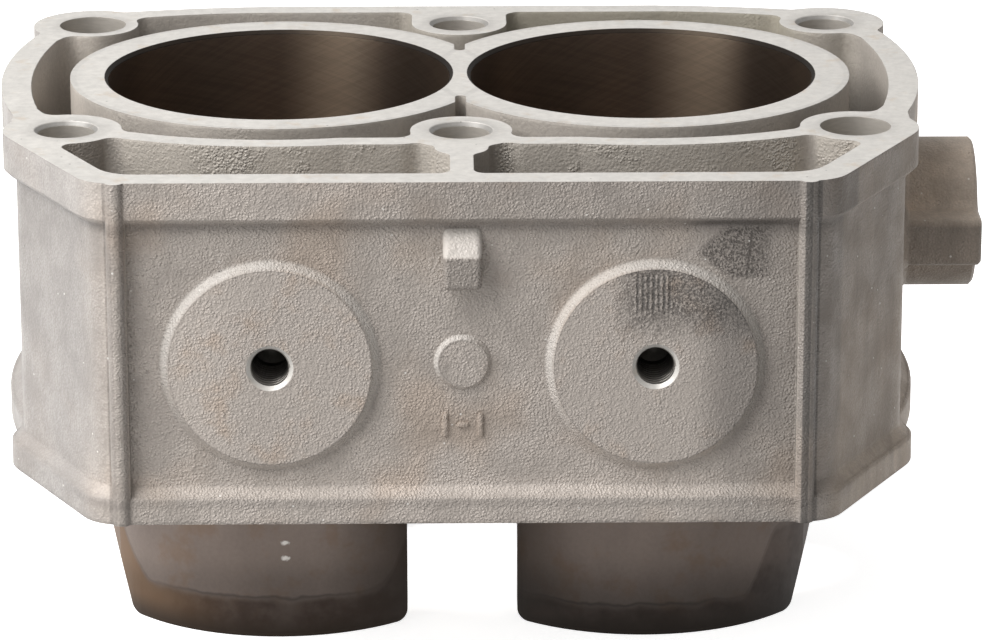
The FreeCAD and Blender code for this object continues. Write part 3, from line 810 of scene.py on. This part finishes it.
def thread_tree(material):
    """A node tree that winds a ridge into a helix of a radius, pitch, depth and height."""
    tree = bpy.data.node_groups.new("thread_ridge", "GeometryNodeTree")
    defaults = {"Radius": 0.0043, "Pitch": 0.0015, "Depth": 0.015, "Height": 0.0006}
    for name, default in defaults.items():
        socket = tree.interface.new_socket(name, in_out="INPUT", socket_type="NodeSocketFloat")
        socket.default_value = default
    tree.interface.new_socket("Geometry", in_out="OUTPUT", socket_type="NodeSocketGeometry")
    given = tree.nodes.new("NodeGroupInput")
    result = tree.nodes.new("NodeGroupOutput")

    turns = tree.nodes.new("ShaderNodeMath")
    turns.operation = "DIVIDE"
    tree.links.new(given.outputs["Depth"], turns.inputs[0])
    tree.links.new(given.outputs["Pitch"], turns.inputs[1])
    helix = tree.nodes.new("GeometryNodeCurveSpiral")
    helix.inputs["Resolution"].default_value = 40
    tree.links.new(turns.outputs[0], helix.inputs["Rotations"])
    tree.links.new(given.outputs["Radius"], helix.inputs["Start Radius"])
    tree.links.new(given.outputs["Radius"], helix.inputs["End Radius"])
    tree.links.new(given.outputs["Depth"], helix.inputs["Height"])
    section = tree.nodes.new("GeometryNodeCurvePrimitiveCircle")
    section.inputs["Resolution"].default_value = 6
    tree.links.new(given.outputs["Height"], section.inputs["Radius"])
    ridge = tree.nodes.new("GeometryNodeCurveToMesh")
    ridge.inputs["Fill Caps"].default_value = True
    tree.links.new(helix.outputs[0], ridge.inputs["Curve"])
    tree.links.new(section.outputs[0], ridge.inputs["Profile Curve"])
    real = tree.nodes.new("GeometryNodeRealizeInstances")
    tree.links.new(ridge.outputs[0], real.inputs[0])
    coat = tree.nodes.new("GeometryNodeSetMaterial")
    coat.inputs["Material"].default_value = material
    tree.links.new(real.outputs[0], coat.inputs["Geometry"])
    tree.links.new(coat.outputs[0], result.inputs[0])
    return tree


def make_thread(name, tree, mouth, inward, radius, pitch, depth, height):
    """A thread's ridge in a hole, from its mouth inwards."""
    thread = link(bpy.data.objects.new(name, bpy.data.meshes.new(name)))
    wind = thread.modifiers.new("thread", "NODES")
    wind.node_group = tree
    given = {"Radius": radius, "Pitch": pitch, "Depth": depth, "Height": height}
    for item in tree.interface.items_tree:
        if item.in_out == "INPUT":
            wind[item.identifier] = given[item.name]
    thread.data = evaluated_mesh(thread)
    turn = Vector((0, 0, 1)).rotation_difference(Vector(inward)).to_matrix().to_4x4()
    thread.data.transform(Matrix.Translation(Vector(mouth) * MM) @ turn)
    thread.data.name = name
    for face in thread.data.polygons:
        face.use_smooth = True
    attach(thread, BODY)
    return thread


def make_foundry_mark(sizes):
    """A plain tally in low relief on the front wall: a bar, a dash and a bar."""
    shape = bmesh.new()
    relief = sizes.mark_relief / MM
    deep = relief + MARK_ROOT
    for x, wide, tall in MARK_STROKES:
        made = bmesh.ops.create_cube(shape, size=1.0)["verts"]
        bmesh.ops.scale(shape, verts=made, vec=(wide, deep, tall))
        bmesh.ops.translate(shape, verts=made, vec=(x, WALL_Y - relief + deep / 2, MARK_Z))
    bmesh.ops.scale(shape, verts=shape.verts, vec=(MM, MM, MM))
    mesh = bpy.data.meshes.new("foundry_mark")
    shape.to_mesh(mesh)
    shape.free()
    mesh.materials.append(bpy.data.materials["cast_skin"])
    mark = link(bpy.data.objects.new("foundry_mark", mesh))
    soften = mark.modifiers.new("soft edges", "BEVEL")
    soften.width = MARK_SOFTNESS
    soften.segments = 3
    mark.data = evaluated_mesh(mark)
    for face in mark.data.polygons:
        face.use_smooth = True
    mark.data.set_sharp_from_angle(angle=math.radians(40))
    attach(mark, BODY)
    return mark


def seen_directly(tree):
    """1 for what is seen straight, mirrored or through glass, and 0 for stray light."""
    path = tree.nodes.new("ShaderNodeLightPath")
    share = path.outputs["Is Camera Ray"]
    for ray in ("Is Glossy Ray", "Is Transmission Ray"):
        either = tree.nodes.new("ShaderNodeMath")
        either.operation = "MAXIMUM"
        tree.links.new(share, either.inputs[0])
        tree.links.new(path.outputs[ray], either.inputs[1])
        share = either.outputs[0]
    return share


def make_floor(colours):
    """A pale floor under the skirts that keeps the soft shadow."""
    finish = bpy.data.materials.new("floor_finish")
    finish.use_nodes = True
    tree = finish.node_tree
    shader = tree.nodes["Principled BSDF"]
    shader.inputs["Roughness"].default_value = 0.9
    shader.inputs["Specular IOR Level"].default_value = 0.0
    shader.inputs["Emission Color"].default_value = (1, 1, 1, 1)
    seen = seen_directly(tree)
    tone = tree.nodes.new("ShaderNodeMix")
    tone.data_type = "RGBA"
    tree.links.new(seen, tone.inputs[0])
    tone.inputs[MIX_FIRST].default_value = STRAY_FLOOR
    tone.inputs[MIX_SECOND].default_value = colours.backdrop
    tree.links.new(tone.outputs[MIX_RESULT], shader.inputs["Base Color"])
    glow = tree.nodes.new("ShaderNodeMath")
    glow.operation = "MULTIPLY"
    glow.inputs[1].default_value = FLOOR_GLOW
    tree.links.new(seen, glow.inputs[0])
    tree.links.new(glow.outputs[0], shader.inputs["Emission Strength"])
    corners = [(x * FLOOR_REACH, y * FLOOR_REACH, SKIRT_END_Z * MM)
               for x, y in ((-1, -1), (1, -1), (1, 1), (-1, 1))]
    mesh = bpy.data.meshes.new("floor")
    mesh.from_pydata(corners, [], [(0, 1, 2, 3)])
    mesh.materials.append(finish)
    link(bpy.data.objects.new("floor", mesh))


def make_world():
    """A white background, and a softer white light from it on the object."""
    world = bpy.data.worlds.new("studio")
    bpy.context.scene.world = world
    world.use_nodes = True
    tree = world.node_tree
    tree.nodes.clear()
    level = tree.nodes.new("ShaderNodeMapRange")
    level.inputs["To Min"].default_value = STRAY_SKY
    level.inputs["To Max"].default_value = 1.0
    tree.links.new(seen_directly(tree), level.inputs["Value"])
    back = tree.nodes.new("ShaderNodeBackground")
    tree.links.new(level.outputs[0], back.inputs["Strength"])
    out = tree.nodes.new("ShaderNodeOutputWorld")
    tree.links.new(back.outputs[0], out.inputs["Surface"])


def make_lamp(name, place, wide, tall, watts):
    """A soft rectangular lamp turned towards the object."""
    lamp = bpy.data.lights.new(name, "AREA")
    lamp.shape = "RECTANGLE"
    lamp.size = wide
    lamp.size_y = tall
    lamp.energy = watts
    holder = link(bpy.data.objects.new(name, lamp))
    holder.location = place
    view = Vector(LAMP_AIM) - Vector(place)
    holder.rotation_euler = view.to_track_quat("-Z", "Y").to_euler()


def make_camera():
    """The camera, at the photograph's viewing angle and distance."""
    turn = math.radians(CAMERA_TURN)
    rise = math.radians(CAMERA_RISE)
    roll = math.radians(CAMERA_ROLL)
    level = math.cos(rise)
    back = Vector((math.sin(turn) * level, -math.cos(turn) * level, math.sin(rise)))
    right = (-back).cross(Vector((0, 0, 1))).normalized()
    up = right.cross(-back)
    rolled_right = right * math.cos(roll) + up * math.sin(roll)
    rolled_up = up * math.cos(roll) - right * math.sin(roll)
    camera = bpy.data.cameras.new("camera")
    camera.sensor_width = FILM_WIDTH
    camera.lens = FOCAL_PIXELS / FRAME_WIDTH * camera.sensor_width
    camera.clip_start = 0.05
    camera.clip_end = 50.0
    holder = link(bpy.data.objects.new("camera", camera))
    place = Matrix((rolled_right, rolled_up, back)).transposed().to_4x4()
    place.translation = Vector(CAMERA_AIM) * MM + back * CAMERA_DISTANCE
    holder.matrix_world = place
    bpy.context.scene.camera = holder


class BARREL_OT_casting(bpy.types.Operator):
    """Put the finished casting in place of the plain solid"""
    bl_idname = "barrel.casting"
    bl_label = "Casting"

    def execute(self, context):
        make_casting(context.scene.barrel_sizes, context.scene.barrel_colours)
        return {"FINISHED"}


class BARREL_OT_threads(bpy.types.Operator):
    """Wind the threads into the pads and the coolant lug"""
    bl_idname = "barrel.threads"
    bl_label = "Threads"

    def execute(self, context):
        sizes = context.scene.barrel_sizes
        tree = thread_tree(bpy.data.materials["tapped_hole"])
        core, depth = PAD_THREAD
        for side, pad in zip(("left", "right"), PADS):
            mouth = (pad[0], PAD_FACE_Y + PAD_THREAD_START, pad[1])
            make_thread("pad_thread_" + side, tree, mouth, (0, 1, 0),
                        core + sizes.thread_height * 0.45, sizes.pad_thread_pitch, depth,
                        sizes.thread_height)
        core, depth = SCREW_THREAD
        mouth = (PORT_END_X - SCREW_THREAD_START, *PORT_SCREW)
        make_thread("port_thread", tree, mouth, (-1, 0, 0),
                    core + sizes.thread_height * 0.3, sizes.screw_thread_pitch, depth,
                    sizes.thread_height * 0.65)
        return {"FINISHED"}


class BARREL_OT_foundry_mark(bpy.types.Operator):
    """Add the plain tally on the front wall"""
    bl_idname = "barrel.foundry_mark"
    bl_label = "Foundry mark"

    def execute(self, context):
        make_foundry_mark(context.scene.barrel_sizes)
        return {"FINISHED"}


class BARREL_OT_stage(bpy.types.Operator):
    """Add the floor, the lamps, the background and the camera"""
    bl_idname = "barrel.stage"
    bl_label = "Stage"

    def execute(self, context):
        make_floor(context.scene.barrel_colours)
        make_world()
        for lamp in LAMPS:
            make_lamp(*lamp)
        make_camera()
        context.scene.view_settings.view_transform = "Standard"
        return {"FINISHED"}


OPERATORS = (BARREL_OT_casting, BARREL_OT_threads, BARREL_OT_foundry_mark, BARREL_OT_stage)


class BARREL_PT_panel(bpy.types.Panel):
    """Lists what makes up the barrel's look"""
    bl_idname = "BARREL_PT_panel"
    bl_label = "Cylinder barrel"
    bl_space_type = "VIEW_3D"
    bl_region_type = "UI"
    bl_category = "Barrel"

    def draw(self, context):
        for group in (context.scene.barrel_sizes, context.scene.barrel_colours):
            for name in group.bl_rna.properties.keys():
                if name not in ("rna_type", "name"):
                    self.layout.prop(group, name)
        for operator in OPERATORS:
            self.layout.operator(operator.bl_idname)


CLASSES = (BarrelSizes, BarrelColours, *OPERATORS, BARREL_PT_panel)


def register():
    for made in CLASSES:
        bpy.utils.register_class(made)
    bpy.types.Scene.barrel_sizes = bpy.props.PointerProperty(type=BarrelSizes)
    bpy.types.Scene.barrel_colours = bpy.props.PointerProperty(type=BarrelColours)


def unregister():
    del bpy.types.Scene.barrel_colours
    del bpy.types.Scene.barrel_sizes
    for made in reversed(CLASSES):
        bpy.utils.unregister_class(made)


def main():
    register()
    bpy.ops.barrel.casting()
    bpy.ops.barrel.threads()
    bpy.ops.barrel.foundry_mark()
    bpy.ops.barrel.stage()
    bpy.context.view_layer.update()


if __name__ == "__main__":
    main()
